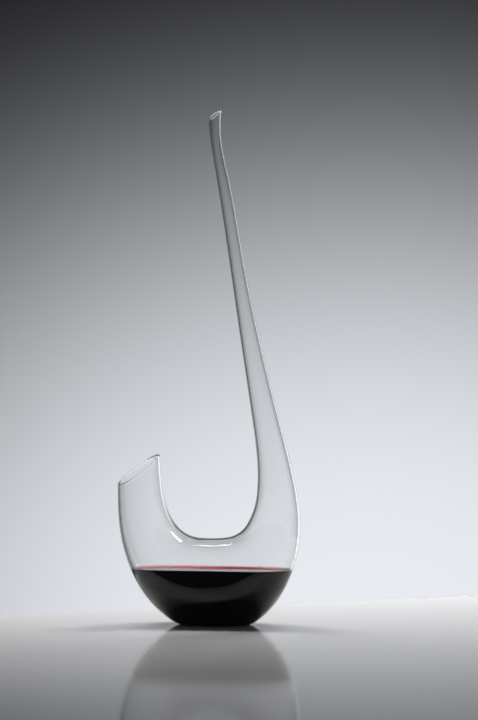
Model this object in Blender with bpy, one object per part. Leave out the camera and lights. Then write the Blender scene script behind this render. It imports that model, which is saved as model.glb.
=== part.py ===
"""Swan decanter holding red wine: one mouth-blown glass vessel, open at both ends.

The glass is a single tube of changing oval section. It starts at the wide slanted
mouth of the tail, swells into the bowl, bends up through it and tapers into the
long leaning neck. It is modelled in seven lengths, end to end, so that each is a
simple open tube; the real glass runs through without a joint. The wine fills the
bowl to a level surface.

Metres, +Z up. The origin is the centre of the flat foot on the table, the tail
stands towards -X and the neck towards +X. The shape is symmetric about Y = 0.
"""

from typing import NamedTuple

import bmesh
import bpy
import numpy as np

# Driving dimensions
FOOT_SOFTNESS = 0.0030  # half the height over which the bowl turns into its flat foot
FLOOR_THICKNESS = 0.0050  # glass under the wine
FLOOR_SOFTNESS = 0.0060  # the same turn inside, which stays rounder
WINE_LEVEL = 0.0650  # height of the wine's surface above the table
GAP = 0.0003  # clearance between neighbouring solids

# Mesh fineness
RING_SPACING = 0.0145  # along the outer side of the outline
AROUND = 28  # points in a ring


class Section(NamedTuple):
    """One oval section of the tube. Its plane is square to Y = 0."""

    outer: tuple[float, float]  # (x, z) where it meets the outer side of the outline
    inner: tuple[float, float]  # (x, z) on the side that faces the gap between tail and neck
    depth: float  # its whole size along Y
    wall: float  # thickness of the glass there


# The lengths of the vessel in order, each with the sections that it starts and runs through.
# Each length ends at the first section of the next one.
LENGTHS = {
    # a slanted mouth on a short wide tube
    "tail": (
        Section((-0.1188, 0.1618), (-0.0698, 0.1980), 0.054, 0.0020),
        Section((-0.1175, 0.1240), (-0.0655, 0.1510), 0.063, 0.0024),
    ),
    # its sections fan out around the bottom of the gap
    "bowl": (
        Section((-0.1120, 0.0930), (-0.0565, 0.1245), 0.077, 0.0027),
        Section((-0.1025, 0.0660), (-0.0435, 0.1080), 0.092, 0.0029),
        Section((-0.0875, 0.0385), (-0.0270, 0.1005), 0.104, 0.0030),
        Section((-0.0620, 0.0115), (-0.0135, 0.0990), 0.112, 0.0031),
        Section((-0.0130, -0.0100), (-0.0010, 0.0990), 0.116, 0.0032),
        Section((0.0370, -0.0025), (0.0125, 0.1006), 0.110, 0.0031),
        Section((0.0670, 0.0205), (0.0235, 0.1052), 0.099, 0.0030),
        Section((0.0880, 0.0540), (0.0350, 0.1135), 0.083, 0.0028),
        Section((0.0995, 0.0900), (0.0445, 0.1245), 0.066, 0.0026),
    ),
    # the bowl draws in and turns up
    "neck_root": (
        Section((0.1018, 0.1180), (0.0492, 0.1390), 0.056, 0.0025),
        Section((0.0990, 0.1500), (0.0518, 0.1600), 0.048, 0.0024),
        Section((0.0915, 0.1860), (0.0516, 0.1890), 0.040, 0.0023),
    ),
    # a long round taper that leans back over the bowl
    "neck_lower": (Section((0.0770, 0.2400), (0.0460, 0.2400), 0.031, 0.0021),),
    "neck_middle": (Section((0.0565, 0.3200), (0.0336, 0.3200), 0.023, 0.0020),),
    "neck_upper": (Section((0.0350, 0.4200), (0.0170, 0.4200), 0.018, 0.0019),),
    # the last section is the lip, cut on a slant and slightly flared
    "neck_tip": (
        Section((0.0162, 0.5200), (0.0014, 0.5200), 0.015, 0.0017),
        Section((0.0062, 0.5770), (-0.0072, 0.5740), 0.014, 0.0016),
        Section((0.0070, 0.5995), (-0.0082, 0.5895), 0.015, 0.0016),
    ),
}


class Spline:
    """Natural cubic spline through one row of values per knot."""

    def __init__(self, knots, values):
        spans = np.diff(knots)
        slopes = np.diff(values, axis=0) / spans[:, None]
        system = np.diag(2 * (spans[:-1] + spans[1:]))
        system += np.diag(spans[1:-1], 1) + np.diag(spans[1:-1], -1)
        self.knots, self.values, self.spans = knots, values, spans
        self.bends = np.zeros_like(values)
        self.bends[1:-1] = np.linalg.solve(system, 6 * np.diff(slopes, axis=0))

    def read(self, places):
        k = np.clip(np.searchsorted(self.knots, places) - 1, 0, len(self.spans) - 1)
        span = self.spans[k, None]
        after = (places - self.knots[k])[:, None]
        before = span - after
        curved = (self.bends[k] * before**3 + self.bends[k + 1] * after**3) / (6 * span)
        start = (self.values[k] / span - self.bends[k] * span / 6) * before
        end = (self.values[k + 1] / span - self.bends[k + 1] * span / 6) * after
        return curved + start + end


class Tube:
    """The whole blown shape before it is set down. A place is a length along its outer side."""

    def __init__(self, lengths):
        sections = [section for length in lengths.values() for section in length]
        table = np.array([(*s.outer, *s.inner, s.depth / 2, s.wall) for s in sections])
        steps = np.linalg.norm(np.diff(table[:, :2], axis=0), axis=1)
        self.knots = np.concatenate([[0.0], np.cumsum(steps)])
        self.spline = Spline(self.knots, table)
        self.angle = np.arange(AROUND) * 2 * np.pi / AROUND

    def points(self, places):
        table = self.spline.read(places)
        outer, inner, half_depth = table[:, None, 0:2], table[:, None, 2:4], table[:, 4:5]
        x_z = (outer + inner) / 2 + (outer - inner) / 2 * np.cos(self.angle)[:, None]
        return np.stack([x_z[..., 0], half_depth * np.sin(self.angle), x_z[..., 1]], axis=-1)

    def normals(self, places):
        """Unit normals that point out of the tube."""
        step = 1e-5
        along = self.points(places + step) - self.points(places - step)
        ring = self.points(places)
        across = np.roll(ring, -1, axis=1) - np.roll(ring, 1, axis=1)
        normals = np.cross(across, along)
        return normals / np.linalg.norm(normals, axis=-1, keepdims=True)

    def outside(self, places):
        return settle(self.points(places), 0.0, FOOT_SOFTNESS)

    def inside(self, places, clearance=0.0):
        """The inner surface of the glass, or one that keeps a clearance to it."""
        depth = self.spline.read(places)[:, 5, None, None] + clearance
        sunk = self.points(places) - self.normals(places) * depth
        return settle(sunk, FLOOR_THICKNESS + clearance, FLOOR_SOFTNESS)


def settle(points, level, softness):
    """Flattens what lies below the level, turning into the flat over the softness above it."""
    above = points[..., 2] - level
    turn = (above + softness) ** 2 / (4 * softness)
    settled = points.copy()
    settled[..., 2] = level + np.where(above > softness, above, np.where(above < -softness, 0.0, turn))
    return settled


def places_along(knots, lengths):
    """For each length, the places of its rings, which stop half a gap short of its neighbours."""
    starts = np.concatenate([[0], np.cumsum([len(length) for length in lengths.values()])])
    starts[-1] -= 1
    places = {}
    for name, first, last in zip(lengths, starts, starts[1:]):
        start = knots[first] + (GAP / 2 if first else 0.0)
        end = knots[last] - (GAP / 2 if last < starts[-1] else 0.0)
        count = 1 + int(np.ceil((end - start) / RING_SPACING))
        places[name] = np.linspace(start, end, count)
    return places


def band(mesh, first, second):
    """Faces between two rings with the same number of vertices."""
    for i in range(len(first)):
        mesh.faces.new((first[i - 1], first[i], second[i], second[i - 1]))


def surface(mesh, grid):
    """Faces through a grid of rings, whose vertices are returned ring by ring."""
    rings = [[mesh.verts.new(point) for point in ring] for ring in grid]
    for first, second in zip(rings, rings[1:]):
        band(mesh, first, second)
    return rings


def to_data(name, mesh):
    bmesh.ops.recalc_face_normals(mesh, faces=mesh.faces)
    data = bpy.data.meshes.new(name)
    mesh.to_mesh(data)
    mesh.free()
    data.shade_smooth()
    data.set_sharp_from_angle(angle=np.radians(40))
    return data


def glass_length(name, tube, places):
    """An open tube with a wall: its two surfaces, joined at both ends."""
    mesh = bmesh.new()
    outside = surface(mesh, tube.outside(places))
    inside = surface(mesh, tube.inside(places))
    band(mesh, outside[0], inside[0])
    band(mesh, outside[-1], inside[-1])
    return to_data(name, mesh)


def wine(tube, places):
    """The liquid: what the glass wets, cut level and closed with one flat face."""
    mesh = bmesh.new()
    surface(mesh, tube.inside(places, clearance=GAP))
    cut = bmesh.ops.bisect_plane(
        mesh,
        geom=[*mesh.verts, *mesh.edges, *mesh.faces],
        plane_co=(0.0, 0.0, WINE_LEVEL),
        plane_no=(0.0, 0.0, 1.0),
        clear_outer=True,
    )
    rim = [part for part in cut["geom_cut"] if isinstance(part, bmesh.types.BMEdge)]
    bmesh.ops.contextual_create(mesh, geom=rim)
    return to_data("wine", mesh)


def clear_material(name, colour, roughness, ior):
    material = bpy.data.materials.new(name)
    material.use_nodes = True
    shader = material.node_tree.nodes["Principled BSDF"]
    shader.inputs["Base Color"].default_value = (*colour, 1.0)
    shader.inputs["Roughness"].default_value = roughness
    shader.inputs["Metallic"].default_value = 0.0
    shader.inputs["IOR"].default_value = ior
    shader.inputs["Transmission Weight"].default_value = 1.0
    return material


def add_part(data, material, collection):
    data.materials.append(material)
    collection.objects.link(bpy.data.objects.new(data.name, data))


def main():
    for obj in list(bpy.data.objects):
        bpy.data.objects.remove(obj, do_unlink=True)
    decanter = bpy.data.collections.new("swan_decanter")
    bpy.context.scene.collection.children.link(decanter)

    tube = Tube(LENGTHS)
    places = places_along(tube.knots, LENGTHS)
    clear_glass = clear_material("clear_glass", (0.97, 0.98, 0.98), roughness=0.02, ior=1.52)
    red_wine = clear_material("red_wine", (0.22, 0.006, 0.016), roughness=0.02, ior=1.34)
    for name in LENGTHS:
        add_part(glass_length(name, tube, places[name]), clear_glass, decanter)
    add_part(wine(tube, places["bowl"]), red_wine, decanter)


main()
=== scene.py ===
"""Looks of the swan decanter: one seamless vessel of blown glass with red wine in it.

Metres, +Z up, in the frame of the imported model. The glass is the loft through oval
sections that the CAD model has too. On the side of the gap some of them are eased by up
to 1.5 mm and their wall is up to 0.9 mm thinner, where that fits the photo better. Here
the glass is one piece, fine enough for smooth reflections, with rounded lips.
"""

import math
from typing import NamedTuple

import bmesh
import bpy
import numpy as np
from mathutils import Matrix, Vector


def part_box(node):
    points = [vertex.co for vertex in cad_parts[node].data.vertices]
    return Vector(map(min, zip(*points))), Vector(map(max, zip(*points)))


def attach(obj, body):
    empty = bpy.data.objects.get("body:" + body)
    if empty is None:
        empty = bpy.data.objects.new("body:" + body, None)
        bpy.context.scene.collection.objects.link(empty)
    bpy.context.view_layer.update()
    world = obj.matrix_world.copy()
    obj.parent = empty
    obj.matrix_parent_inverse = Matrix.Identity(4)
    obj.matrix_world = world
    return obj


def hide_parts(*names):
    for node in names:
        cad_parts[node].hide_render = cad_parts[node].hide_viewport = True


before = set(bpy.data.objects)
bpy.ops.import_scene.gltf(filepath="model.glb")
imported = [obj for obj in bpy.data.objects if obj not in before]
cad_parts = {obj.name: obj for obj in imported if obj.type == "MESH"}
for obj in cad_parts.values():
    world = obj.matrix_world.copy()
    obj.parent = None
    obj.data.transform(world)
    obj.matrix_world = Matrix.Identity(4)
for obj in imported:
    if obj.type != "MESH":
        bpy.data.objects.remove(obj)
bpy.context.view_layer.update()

# The vessel's foot and floor, as the CAD model has them
FOOT_SOFTNESS = 0.0030  # half the height over which the bowl turns into its flat foot
FLOOR_THICKNESS = 0.0050  # glass under the wine
FLOOR_SOFTNESS = 0.0060  # the same turn inside, which stays rounder

# Mesh fineness
RING_SPACING = 0.0026  # along the outer side of the outline
AROUND = 126  # points in a ring
LIP_STEPS = 8  # rings that round a lip

# The wine
MENISCUS_RISE = 0.0026  # how far the wine climbs the glass
WINE_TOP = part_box("wine")[1].z  # where it ends on the glass, which it climbs a little
WINE_LEVEL = WINE_TOP - MENISCUS_RISE
MENISCUS_REACH = 0.0023  # distance from the glass over which that falls to a third
MENISCUS_STEPS = (0.25, 0.5, 0.8, 1.2, 1.8, 2.6, 3.6, 5.0)  # where it has rings, in reaches
WETTED_GAP = 0.00004  # between the wine's mesh and the glass's, which share one optical surface

# Clear materials
GLASS_IOR = 1.52
GLASS_COLOUR = (0.99, 0.99, 0.99, 1.0)
WINE_IOR = 1.345
WINE_COLOUR = (1.0, 1.0, 1.0, 1.0)  # of its surface; the red is in its depth
WINE_DEPTH_COLOUR = (0.86, 0.05, 0.16, 1.0)
WINE_DEPTH_DENSITY = 600.0

# Finish of their surfaces. CELLS is a pattern's fineness: how many in a metre. ROUGHNESS is
# the range from the pattern's 0 to its 1, and DEPTH the height of its relief.
GLASS_POLISH_CELLS = 60.0
GLASS_ROUGHNESS = (0.0, 0.012)
GLASS_WAVE_CELLS = 24.0
GLASS_WAVE_DEPTH = 0.00002
WINE_HAZE_CELLS = 40.0
WINE_ROUGHNESS = (0.0, 0.010)
WINE_RIPPLE_CELLS = 45.0
WINE_RIPPLE_DEPTH = 0.00001

# The camera
CAMERA_TURN = math.radians(17)  # it stands this far round from -Y towards the neck's side
CAMERA_DISTANCE = 3.79
CAMERA_HEIGHT = 0.3082
CAMERA_LENS_MM = 162.5
CAMERA_SENSOR_MM = 36.0
CAMERA_SHIFT_RIGHT = 0.0274  # it looks past the foot by this much


class Section(NamedTuple):
    """One oval section of the tube. Its plane is square to Y = 0."""

    outer: tuple[float, float]  # (x, z) where it meets the outer side of the outline
    inner: tuple[float, float]  # (x, z) on the side that faces the gap between tail and neck
    depth: float  # its whole size along Y
    walls: tuple[float, float]  # thickness of the glass on those two sides


SECTIONS = (
    # tail
    Section((-0.1188, 0.1618), (-0.0698, 0.1980), 0.054, (0.0020, 0.0020)),
    Section((-0.1175, 0.1240), (-0.0655, 0.1510), 0.063, (0.0024, 0.0022)),
    # bowl
    Section((-0.1120, 0.0930), (-0.0565, 0.1245), 0.077, (0.0027, 0.0023)),
    Section((-0.1025, 0.0660), (-0.0433, 0.1088), 0.092, (0.0029, 0.0024)),
    Section((-0.0875, 0.0385), (-0.0270, 0.1017), 0.104, (0.0030, 0.0024)),
    Section((-0.0620, 0.0115), (-0.0135, 0.1004), 0.112, (0.0031, 0.0023)),
    Section((-0.0130, -0.0100), (-0.0010, 0.1005), 0.116, (0.0032, 0.0023)),
    Section((0.0370, -0.0025), (0.0125, 0.1016), 0.110, (0.0031, 0.0023)),
    Section((0.0670, 0.0205), (0.0235, 0.1043), 0.099, (0.0030, 0.0022)),
    Section((0.0880, 0.0540), (0.0353, 0.1121), 0.083, (0.0028, 0.0022)),
    Section((0.0995, 0.0900), (0.0434, 0.1246), 0.066, (0.0026, 0.0022)),
    Section((0.1018, 0.1180), (0.0488, 0.1390), 0.056, (0.0025, 0.0022)),
    # neck
    Section((0.0990, 0.1500), (0.0518, 0.1600), 0.048, (0.0024, 0.0022)),
    Section((0.0915, 0.1860), (0.0516, 0.1890), 0.040, (0.0023, 0.0022)),
    Section((0.0770, 0.2400), (0.0452, 0.2400), 0.031, (0.0021, 0.0021)),
    Section((0.0565, 0.3200), (0.0326, 0.3200), 0.023, (0.0020, 0.0020)),
    Section((0.0350, 0.4200), (0.0174, 0.4200), 0.018, (0.0019, 0.0019)),
    Section((0.0162, 0.5200), (0.0014, 0.5200), 0.015, (0.0017, 0.0017)),
    Section((0.0062, 0.5770), (-0.0072, 0.5740), 0.014, (0.0016, 0.0016)),
    Section((0.0070, 0.5995), (-0.0082, 0.5895), 0.015, (0.0016, 0.0016)),
)
BOWL_SECTIONS = (2, 11)  # the wine lies between these two


class Spline:
    """Natural cubic spline through one row of values per knot."""

    def __init__(self, knots, values):
        spans = np.diff(knots)
        slopes = np.diff(values, axis=0) / spans[:, None]
        system = np.diag(2 * (spans[:-1] + spans[1:]))
        system += np.diag(spans[1:-1], 1) + np.diag(spans[1:-1], -1)
        self.knots, self.values, self.spans = knots, values, spans
        self.bends = np.zeros_like(values)
        self.bends[1:-1] = np.linalg.solve(system, 6 * np.diff(slopes, axis=0))

    def read(self, places):
        k = np.clip(np.searchsorted(self.knots, places) - 1, 0, len(self.spans) - 1)
        span = self.spans[k, None]
        after = (places - self.knots[k])[:, None]
        before = span - after
        curved = (self.bends[k] * before**3 + self.bends[k + 1] * after**3) / (6 * span)
        start = (self.values[k] / span - self.bends[k] * span / 6) * before
        end = (self.values[k + 1] / span - self.bends[k + 1] * span / 6) * after
        return curved + start + end


class Tube:
    """The whole blown shape before it is set down. A place is a length along its outer side."""

    def __init__(self, sections):
        table = np.array([(*s.outer, *s.inner, s.depth / 2, *s.walls) for s in sections])
        steps = np.linalg.norm(np.diff(table[:, :2], axis=0), axis=1)
        self.knots = np.concatenate([[0.0], np.cumsum(steps)])
        self.spline = Spline(self.knots, table)
        self.angle = np.arange(AROUND) * 2 * np.pi / AROUND

    def points(self, places):
        table = self.spline.read(places)
        outer, inner, half_depth = table[:, None, 0:2], table[:, None, 2:4], table[:, 4:5]
        x_z = (outer + inner) / 2 + (outer - inner) / 2 * np.cos(self.angle)[:, None]
        return np.stack([x_z[..., 0], half_depth * np.sin(self.angle), x_z[..., 1]], axis=-1)

    def along(self, places):
        """Unit vectors down the tube's length, from the tail to the neck."""
        step = 1e-5
        along = self.points(places + step) - self.points(places - step)
        return along / np.linalg.norm(along, axis=-1, keepdims=True)

    def normals(self, places):
        """Unit normals that point out of the tube."""
        ring = self.points(places)
        across = np.roll(ring, -1, axis=1) - np.roll(ring, 1, axis=1)
        normals = np.cross(across, self.along(places))
        return normals / np.linalg.norm(normals, axis=-1, keepdims=True)

    def wall(self, places):
        """Thickness of the glass around each ring, which eases from one side to the other."""
        walls = self.spline.read(places)[:, 5:7]
        middle, half = walls.mean(axis=1), (walls[:, 0] - walls[:, 1]) / 2
        return (middle[:, None] + half[:, None] * np.cos(self.angle))[..., None]

    def outside(self, places):
        return settle(self.points(places), 0.0, FOOT_SOFTNESS)

    def inside(self, places, clearance=0.0):
        """The inner surface of the glass, or one that keeps a clearance to it."""
        sunk = self.points(places) - self.normals(places) * (self.wall(places) + clearance)
        return settle(sunk, FLOOR_THICKNESS + clearance, FLOOR_SOFTNESS)


def settle(points, level, softness):
    """Flattens what lies below the level, turning into the flat over the softness above it."""
    above = points[..., 2] - level
    turn = (above + softness) ** 2 / (4 * softness)
    settled = points.copy()
    settled[..., 2] = level + np.where(above > softness, above, np.where(above < -softness, 0.0, turn))
    return settled


def band(mesh, first, second):
    """Faces between two rings with the same number of vertices."""
    for i in range(len(first)):
        mesh.faces.new((first[i - 1], first[i], second[i], second[i - 1]))


def surface(mesh, grid):
    """Faces through a grid of rings, whose vertices are returned ring by ring."""
    rings = [[mesh.verts.new(point) for point in ring] for ring in grid]
    for first, second in zip(rings, rings[1:]):
        band(mesh, first, second)
    return rings


def to_object(name, mesh, material):
    data = bpy.data.meshes.new(name)
    mesh.to_mesh(data)
    mesh.free()
    data.materials.append(material)
    made = bpy.data.objects.new(name, data)
    bpy.context.scene.collection.objects.link(made)
    return made


def to_piece(name, mesh, material):
    """A smooth piece of the decanter."""
    bmesh.ops.recalc_face_normals(mesh, faces=mesh.faces)
    piece = to_object(name, mesh, material)
    piece.data.shade_smooth()
    return piece


def lip(outside, inside, leaving):
    """Rings that round the edge between an outer and an inner ring, as fire polishing does."""
    middle = (outside + inside) / 2
    half = (outside - inside) / 2
    radius = np.linalg.norm(half, axis=-1, keepdims=True)
    turns = np.linspace(0.0, math.pi, LIP_STEPS + 1)[1:-1]
    return [middle + half * math.cos(t) + leaving * radius * math.sin(t) for t in turns]


def vessel(tube, places, material):
    """The glass, with the faces of its inner wall marked."""
    mesh = bmesh.new()
    inside_mark = mesh.faces.layers.float.new("inside")
    outside, inside, along = tube.outside(places), tube.inside(places), tube.along(places)
    outer_rings = surface(mesh, outside)
    lips = []
    for end, leaving in ((0, -along[0]), (-1, along[-1])):
        lip_rings = surface(mesh, lip(outside[end], inside[end], leaving))
        band(mesh, outer_rings[end], lip_rings[0])
        lips.append(lip_rings[-1])
    others = len(mesh.faces)
    inner_rings = surface(mesh, inside)
    for face in list(mesh.faces)[others:]:
        face[inside_mark] = 1.0
    band(mesh, lips[0], inner_rings[0])
    band(mesh, lips[1], inner_rings[-1])
    return to_piece("glass_vessel", mesh, material)


def close_wine(mesh, rim):
    """Its surface: rings from the rim inwards that fall from the glass to the level."""
    centre = sum((v.co for v in rim), Vector()) / len(rim)
    rim.sort(key=lambda v: math.atan2(v.co.y - centre.y, v.co.x - centre.x))
    ring = rim
    for reach in MENISCUS_STEPS:
        height = WINE_LEVEL + MENISCUS_RISE * math.exp(-reach)
        smaller = []
        for vertex in rim:
            spoke = Vector((vertex.co.x - centre.x, vertex.co.y - centre.y, 0.0))
            point = vertex.co - spoke.normalized() * reach * MENISCUS_REACH
            smaller.append(mesh.verts.new((point.x, point.y, height)))
        band(mesh, ring, smaller)
        ring = smaller
    mesh.faces.new(ring)


def wine(tube, places, material):
    """What the glass wets, with those faces marked, and the surface over it."""
    mesh = bmesh.new()
    wetted_mark = mesh.faces.layers.float.new("wetted")
    surface(mesh, tube.inside(places, clearance=WETTED_GAP))
    cut = bmesh.ops.bisect_plane(
        mesh,
        geom=[*mesh.verts, *mesh.edges, *mesh.faces],
        plane_co=(0.0, 0.0, WINE_TOP),
        plane_no=(0.0, 0.0, 1.0),
        clear_outer=True,
    )
    for face in mesh.faces:
        face[wetted_mark] = 1.0
    close_wine(mesh, [part for part in cut["geom_cut"] if isinstance(part, bmesh.types.BMVert)])
    return to_piece("wine_fill", mesh, material)


def new_material(name):
    material = bpy.data.materials.new(name)
    material.use_nodes = True
    return material, material.node_tree, material.node_tree.nodes["Principled BSDF"]


def math_node(tree, operation, *values):
    """The output of a node whose inputs are numbers or other nodes' outputs."""
    node = tree.nodes.new("ShaderNodeMath")
    node.operation = operation
    for socket, value in zip(node.inputs, values):
        if isinstance(value, bpy.types.NodeSocket):
            tree.links.new(value, socket)
        else:
            socket.default_value = value
    return node.outputs[0]


def attribute(tree, name):
    node = tree.nodes.new("ShaderNodeAttribute")
    node.attribute_name = name
    return node.outputs["Fac"]


def between(tree, share, at_zero, at_one):
    """at_zero where share is 0, at_one where it is 1."""
    return math_node(tree, "MULTIPLY_ADD", share, at_one - at_zero, at_zero)


def mottle(tree, scale, detail=2.0):
    """A soft pattern from 0 to 1, fixed to the object, with this many cells in its own unit."""
    noise = tree.nodes.new("ShaderNodeTexNoise")
    noise.inputs["Scale"].default_value = scale
    noise.inputs["Detail"].default_value = detail
    tree.links.new(tree.nodes.new("ShaderNodeTexCoord").outputs["Object"], noise.inputs["Vector"])
    return noise.outputs["Fac"]


def relief(tree, pattern, depth, socket):
    """Bends the surface's normals as if the pattern stood this many metres proud."""
    bump = tree.nodes.new("ShaderNodeBump")
    bump.inputs["Distance"].default_value = depth
    tree.links.new(pattern, bump.inputs["Height"])
    tree.links.new(bump.outputs["Normal"], socket)


def glass_material():
    """Blown glass: clear, with a faint waviness and slightly uneven polish.

    The inner wall doesn't refract where the wine wets it, because the wine's side does it there.
    """
    material, tree, shader = new_material("clear_glass")
    shader.inputs["Base Color"].default_value = GLASS_COLOUR
    shader.inputs["Transmission Weight"].default_value = 1.0
    polish = mottle(tree, GLASS_POLISH_CELLS)
    tree.links.new(between(tree, polish, *GLASS_ROUGHNESS), shader.inputs["Roughness"])
    wave = mottle(tree, GLASS_WAVE_CELLS, detail=0.0)
    relief(tree, wave, GLASS_WAVE_DEPTH, shader.inputs["Normal"])
    geometry = tree.nodes.new("ShaderNodeNewGeometry")
    height = tree.nodes.new("ShaderNodeSeparateXYZ")
    tree.links.new(geometry.outputs["Position"], height.inputs[0])
    below = math_node(tree, "LESS_THAN", height.outputs["Z"], WINE_TOP)
    wetted = math_node(tree, "MULTIPLY", below, attribute(tree, "inside"))
    tree.links.new(between(tree, wetted, GLASS_IOR, 1.0), shader.inputs["IOR"])
    return material


def wine_material():
    """Clear liquid that soaks up most light but red, with the faintest ripple on it."""
    material, tree, shader = new_material("red_wine")
    shader.inputs["Base Color"].default_value = WINE_COLOUR
    shader.inputs["Transmission Weight"].default_value = 1.0
    haze = mottle(tree, WINE_HAZE_CELLS)
    tree.links.new(between(tree, haze, *WINE_ROUGHNESS), shader.inputs["Roughness"])
    ripple = mottle(tree, WINE_RIPPLE_CELLS, detail=0.0)
    relief(tree, ripple, WINE_RIPPLE_DEPTH, shader.inputs["Normal"])
    wetted = attribute(tree, "wetted")
    tree.links.new(between(tree, wetted, WINE_IOR, WINE_IOR / GLASS_IOR), shader.inputs["IOR"])
    depth = tree.nodes.new("ShaderNodeVolumeAbsorption")
    depth.inputs["Color"].default_value = WINE_DEPTH_COLOUR
    depth.inputs["Density"].default_value = WINE_DEPTH_DENSITY
    output = tree.nodes["Material Output"]
    tree.links.new(depth.outputs[0], output.inputs["Volume"])
    return material


def build_decanter():
    tube = Tube(SECTIONS)
    first_lip, last_lip = tube.wall(tube.knots[[0, -1]]).max(axis=(1, 2)) / 2
    start, end = tube.knots[0] + first_lip, tube.knots[-1] - last_lip
    places = np.linspace(start, end, int((end - start) / RING_SPACING))
    low, high = tube.knots[list(BOWL_SECTIONS)]
    in_bowl = places[(places > low) & (places < high)]
    glass = vessel(tube, places, glass_material())
    fill = wine(tube, in_bowl, wine_material())
    for piece, slot in ((glass, "clear_glass"), (fill, "red_wine")):
        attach(piece, "root")
    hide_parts(*(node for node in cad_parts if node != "wine"))
    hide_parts("wine")


# --- studio ---

VIEW = Vector((-math.sin(CAMERA_TURN), math.cos(CAMERA_TURN), 0.0))
RIGHT = Vector((math.cos(CAMERA_TURN), math.sin(CAMERA_TURN), 0.0))
COOL_WHITE = (0.975, 1.0, 1.055)


def smooth_step(tree, value, start, end, at_start, at_end):
    node = tree.nodes.new("ShaderNodeMapRange")
    node.interpolation_type = "SMOOTHSTEP"
    tree.links.new(value, node.inputs["Value"])
    node.inputs["From Min"].default_value = start
    node.inputs["From Max"].default_value = end
    node.inputs["To Min"].default_value = at_start
    node.inputs["To Max"].default_value = at_end
    return node.outputs["Result"]


ROOM_RADIANCE = 0.05
ROOM_BEHIND_RADIANCE = 0.004  # straight behind the decanter
ROOM_STARTS, ROOM_FULL = 0.98, 0.85  # cosines of the angle to the line of sight


def room():
    """Dim light from all round, with next to none from straight behind the decanter."""
    world = bpy.data.worlds.new("room")
    bpy.context.scene.world = world
    world.use_nodes = True
    tree = world.node_tree
    background = tree.nodes["Background"]
    ahead = tree.nodes.new("ShaderNodeVectorMath")
    ahead.operation = "DOT_PRODUCT"
    tree.links.new(tree.nodes.new("ShaderNodeTexCoord").outputs["Generated"], ahead.inputs[0])
    ahead.inputs[1].default_value = VIEW
    radiances = (ROOM_RADIANCE, ROOM_BEHIND_RADIANCE)
    walls = smooth_step(tree, ahead.outputs["Value"], ROOM_FULL, ROOM_STARTS, *radiances)
    background.inputs["Color"].default_value = (*COOL_WHITE, 1.0)
    tree.links.new(walls, background.inputs["Strength"])


class Glow(NamedTuple):
    """An oval of light on the backdrop."""

    right: float  # its centre, to the right of the decanter
    height: float  # its centre, above the table
    reach: tuple[float, float]  # sideways and up, to where it has fallen to a third
    falloff: float  # 2 is as soft as a bell curve, more has a flatter middle
    radiance: float


BACKDROP_BEHIND = 2.3  # beyond the decanter
BACKDROP_SIZE = (5.6, 3.6)
GLOWS = (
    Glow(0.271, -0.242, reach=(1.08, 0.851), falloff=2.98, radiance=0.826),
    Glow(1.72, 0.30, reach=(0.66, 1.30), falloff=6.0, radiance=0.95),
    Glow(-1.40, -0.242, reach=(0.70, 0.851), falloff=4.0, radiance=0.12),
    Glow(0.0, 1.55, reach=(1.6, 0.42), falloff=8.0, radiance=0.40),
)


def glow_light(tree, right, height, glow):
    sideways = math_node(tree, "MULTIPLY_ADD", right, 1 / glow.reach[0], -glow.right / glow.reach[0])
    up = math_node(tree, "MULTIPLY_ADD", height, 1 / glow.reach[1], -glow.height / glow.reach[1])
    sideways = math_node(tree, "MULTIPLY", sideways, sideways)
    square = math_node(tree, "MULTIPLY_ADD", up, up, sideways)
    power = math_node(tree, "POWER", square, glow.falloff / 2)
    fall = math_node(tree, "EXPONENT", math_node(tree, "MULTIPLY", power, -1.0))
    return math_node(tree, "MULTIPLY", fall, glow.radiance)


def backdrop_material():
    """The sum of the glows, on the front only. It hides nothing behind it."""
    material = bpy.data.materials.new("backdrop")
    material.use_nodes = True
    tree = material.node_tree
    tree.nodes.clear()
    place = tree.nodes.new("ShaderNodeSeparateXYZ")
    tree.links.new(tree.nodes.new("ShaderNodeTexCoord").outputs["Object"], place.inputs[0])
    glows = [glow_light(tree, place.outputs["X"], place.outputs["Y"], glow) for glow in GLOWS]
    light = glows[0]
    for glow in glows[1:]:
        light = math_node(tree, "ADD", light, glow)
    back = tree.nodes.new("ShaderNodeNewGeometry").outputs["Backfacing"]
    light = math_node(tree, "MULTIPLY", light, math_node(tree, "SUBTRACT", 1.0, back))
    emission = tree.nodes.new("ShaderNodeEmission")
    emission.inputs["Color"].default_value = (*COOL_WHITE, 1.0)
    tree.links.new(light, emission.inputs["Strength"])
    clear = tree.nodes.new("ShaderNodeBsdfTransparent")
    both = tree.nodes.new("ShaderNodeAddShader")
    tree.links.new(emission.outputs[0], both.inputs[0])
    tree.links.new(clear.outputs[0], both.inputs[1])
    output = tree.nodes.new("ShaderNodeOutputMaterial")
    tree.links.new(both.outputs[0], output.inputs["Surface"])
    return material


def backdrop():
    half_width, half_height = BACKDROP_SIZE[0] / 2, BACKDROP_SIZE[1] / 2
    corners = ((-1, -1), (1, -1), (1, 1), (-1, 1))
    mesh = bmesh.new()
    mesh.faces.new([mesh.verts.new((x * half_width, y * half_height, 0.0)) for x, y in corners])
    screen = to_object("backdrop", mesh, backdrop_material())
    screen.location = VIEW * BACKDROP_BEHIND
    screen.rotation_euler = (math.pi / 2, 0.0, CAMERA_TURN)


class Strip(NamedTuple):
    """A long lamp across the line of sight, that shines straight down."""

    start: float  # its ends, to the right of the decanter
    end: float
    width: float
    power: float  # watts in a square metre


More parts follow.
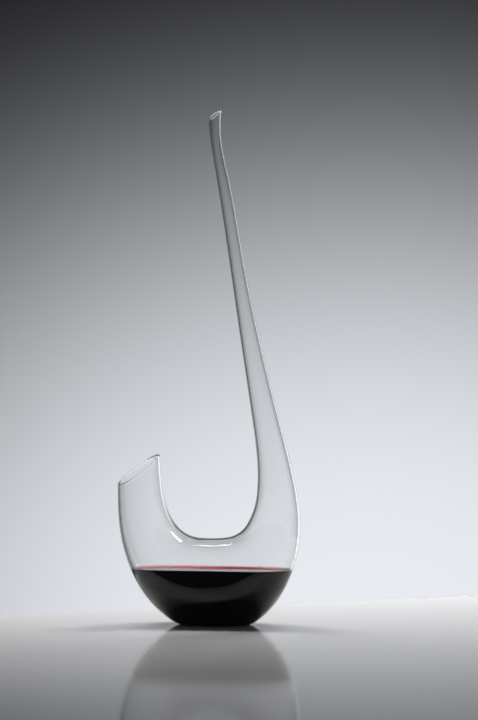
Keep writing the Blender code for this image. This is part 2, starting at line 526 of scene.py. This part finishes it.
KEY_BEHIND, KEY_HEIGHT = 1.60, 2.80  # beyond the decanter, above the table
KEY_SPREAD = math.radians(90)
KEY_LAMPS = (Strip(0.26, 1.42, 0.06, 412.0), Strip(-1.90, -0.26, 0.06, 412.0))
GLINT_BEHIND, GLINT_HEIGHT = 0.80, 1.37
GLINT_LAMPS = (
    Strip(0.12, 0.74, 0.06, 104.0),
    Strip(-0.40, -0.15, 0.05, 28.0),
    Strip(-0.74, -0.40, 0.05, 72.0),
)


def lamp(name, strip, behind, height):
    light = bpy.data.lights.new(name, "AREA")
    light.shape = "RECTANGLE"
    light.size, light.size_y = strip.end - strip.start, strip.width
    light.energy = strip.power * light.size * light.size_y
    fitting = bpy.data.objects.new(name, light)
    bpy.context.scene.collection.objects.link(fitting)
    place = VIEW * behind + RIGHT * (strip.start + strip.end) / 2
    fitting.location = (place.x, place.y, height)
    fitting.rotation_euler.z = CAMERA_TURN
    fitting.visible_camera = False
    return fitting


def lamps():
    """The key lamps light the table, and the weaker glint lamps show in the glass."""
    for number, strip in enumerate(KEY_LAMPS):
        key = lamp(f"key_{number}", strip, KEY_BEHIND, KEY_HEIGHT)
        key.data.spread = KEY_SPREAD
        key.visible_glossy = False
        key.visible_transmission = False
    for number, strip in enumerate(GLINT_LAMPS):
        glint = lamp(f"glint_{number}", strip, GLINT_BEHIND, GLINT_HEIGHT)
        glint.visible_diffuse = False


TABLE_TURN = math.radians(44.7)  # of its far edge, from +X
TABLE_SIZE = (1.9, 1.45, 0.03)
TABLE_FAR = 0.240  # from the decanter to the far edge
TABLE_LEFT = 0.10  # its middle lies this much to the left of the decanter, along the edge
TABLE_SHADES = (0.845, 0.835, 0.825, 1.0), (0.875, 0.865, 0.855, 1.0)
TABLE_ROUGHNESS = 0.5
TABLE_LACQUER = 0.59  # how much of the full reflection its lacquer has
TABLE_SHEEN = (0.06, 0.10)  # roughness of the lacquer, from and to
# Its patterns, in cells to its whole length, width and thickness
TABLE_MOTTLE_CELLS = 9.0
TABLE_SHEEN_CELLS = 14.0
TABLE_GRAIN_CELLS = 900.0
TABLE_GRAIN_DEPTH = 0.00001  # height of the grain


def table_material():
    """Pale paint, faintly mottled, under a lacquer of uneven sheen."""
    material, tree, shader = new_material("table_top")
    shades = tree.nodes.new("ShaderNodeMix")
    shades.data_type = "RGBA"
    shades.inputs["A"].default_value, shades.inputs["B"].default_value = TABLE_SHADES
    tree.links.new(mottle(tree, TABLE_MOTTLE_CELLS), shades.inputs["Factor"])
    tree.links.new(shades.outputs["Result"], shader.inputs["Base Color"])
    shader.inputs["Roughness"].default_value = TABLE_ROUGHNESS
    shader.inputs["Specular IOR Level"].default_value = 0.0
    shader.inputs["Coat Weight"].default_value = TABLE_LACQUER
    sheen = mottle(tree, TABLE_SHEEN_CELLS)
    tree.links.new(between(tree, sheen, *TABLE_SHEEN), shader.inputs["Coat Roughness"])
    relief(tree, mottle(tree, TABLE_GRAIN_CELLS), TABLE_GRAIN_DEPTH, shader.inputs["Normal"])
    return material


def table():
    mesh = bmesh.new()
    bmesh.ops.create_cube(mesh, size=1.0)
    top = to_object("table_top", mesh, table_material())
    top.scale = TABLE_SIZE
    edge = Vector((math.cos(TABLE_TURN), math.sin(TABLE_TURN), 0.0))
    away = Vector((-edge.y, edge.x, 0.0))
    place = away * (TABLE_FAR - TABLE_SIZE[1] / 2) - edge * TABLE_LEFT
    top.location = (place.x, place.y, -TABLE_SIZE[2] / 2)
    top.rotation_euler.z = TABLE_TURN


def camera():
    lens = bpy.data.cameras.new("camera")
    lens.lens = CAMERA_LENS_MM
    lens.sensor_width = CAMERA_SENSOR_MM
    view = bpy.data.objects.new("camera", lens)
    bpy.context.scene.collection.objects.link(view)
    place = RIGHT * CAMERA_SHIFT_RIGHT - VIEW * CAMERA_DISTANCE
    view.location = (place.x, place.y, CAMERA_HEIGHT)
    view.rotation_euler = VIEW.to_track_quat("-Z", "Y").to_euler()
    bpy.context.scene.camera = view


build_decanter()
room()
backdrop()
table()
lamps()
camera()
bpy.context.scene.view_settings.view_transform = "Standard"
